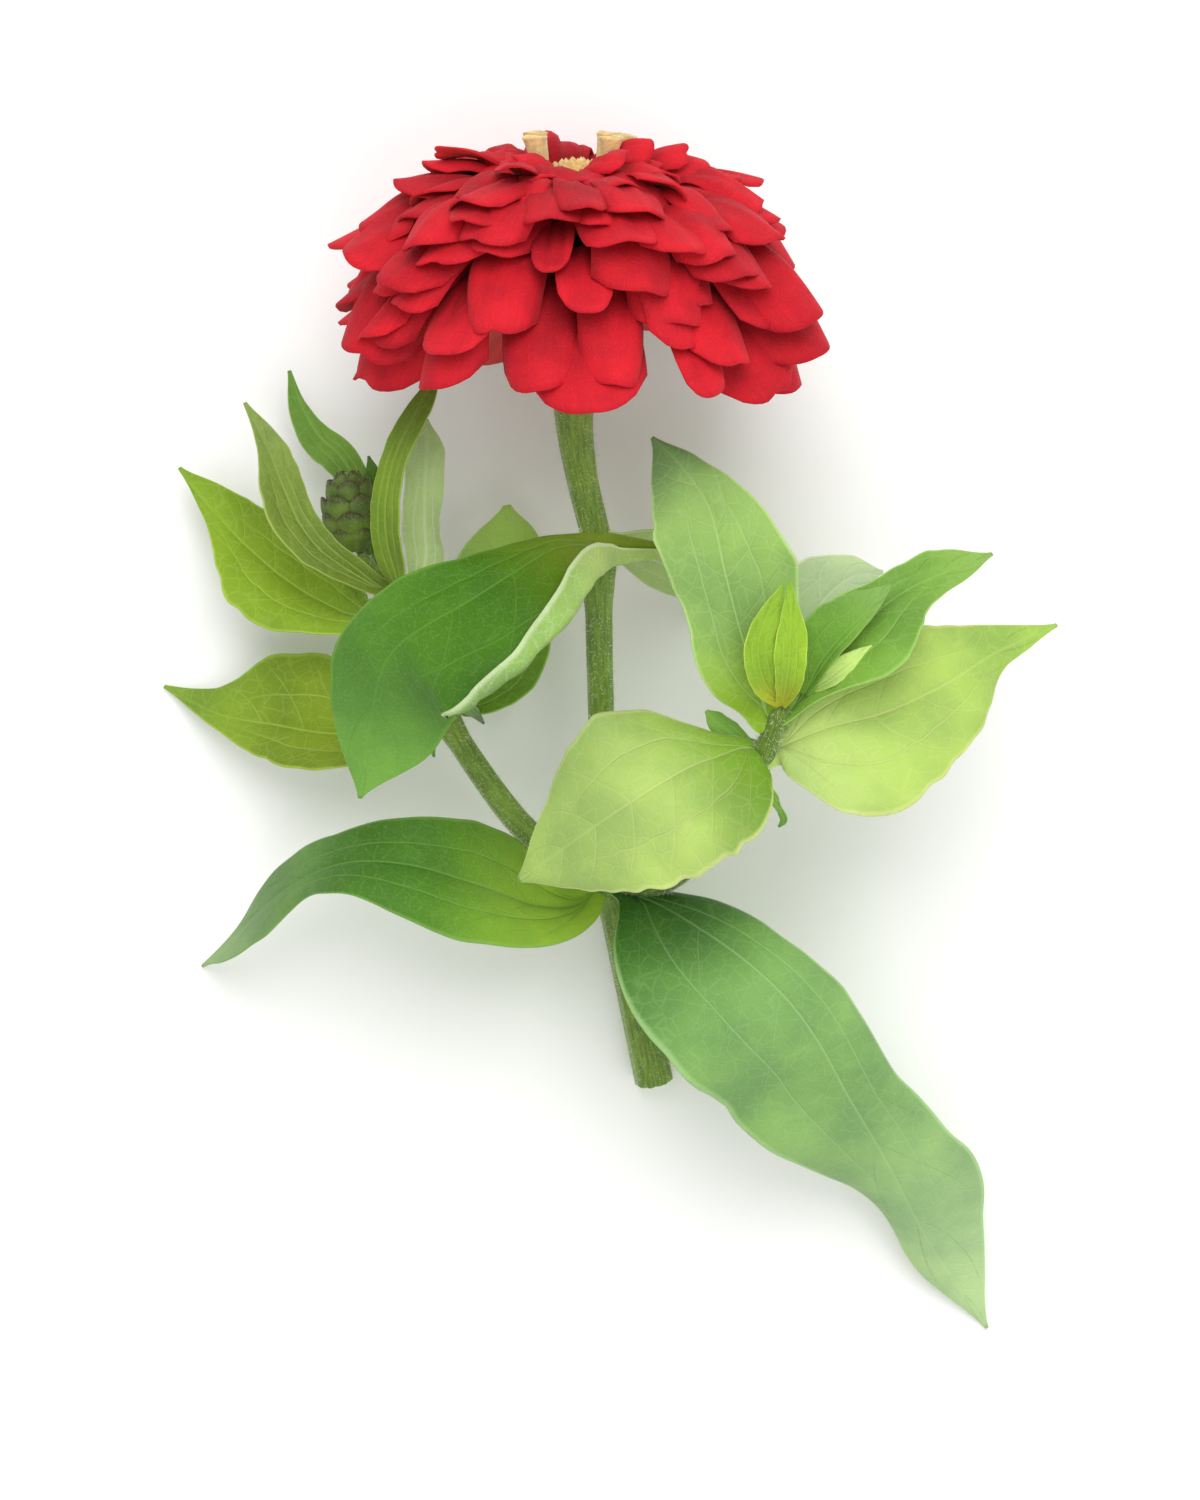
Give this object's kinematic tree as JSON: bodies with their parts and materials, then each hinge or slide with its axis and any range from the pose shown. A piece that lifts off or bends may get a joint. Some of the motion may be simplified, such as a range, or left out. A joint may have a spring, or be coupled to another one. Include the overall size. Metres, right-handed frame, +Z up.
{
  "type": "zinnia flower",
  "caption": "Cut red double zinnia lying on its side: layered petals over a scaly green cup, leafy stem, two side shoots and a bud.",
  "frame": {"origin": "on the surface that the flower lies on, below the middle of its footprint", "axes": "+Y along the stem from the cut end to the bloom, +Z up from the surface, +X to the right seen from above"},
  "size_m": [0.132, 0.1784, 0.0674],
  "materials": {
    "petal": "velvety matt red petals, paler and pinker below",
    "floret": "matt golden disc florets",
    "bract": "matt green overlapping bracts with dark tips",
    "stem": "matt green stem with short pale hairs",
    "leaf": "matt green leaf with a blue-grey bloom and pale veins",
    "young_leaf": "matt yellow-green young leaf with pale veins"
  },
  "bodies": {
    "root": {"ray_petals": "petal", "green_cup": "bract", "disc_florets": "floret", "stem": "stem", "upper_front_leaf": "leaf", "upper_rear_leaf": "leaf", "lower_left_leaf": "leaf", "lower_right_leaf": "leaf", "right_inner_leaf": "young_leaf", "right_outer_leaf": "young_leaf", "right_upper_leaf": "young_leaf", "right_side_leaf": "young_leaf", "right_rear_leaf": "young_leaf", "left_outer_leaf": "leaf", "left_inner_leaf": "leaf", "bud_left_leaf": "young_leaf", "bud_narrow_leaf": "young_leaf", "bud_rear_leaf": "leaf", "bud_right_leaf": "leaf", "bud_pale_leaf": "young_leaf", "tip_leaves": "young_leaf", "bud": "bract"}
  },
  "joints": []
}
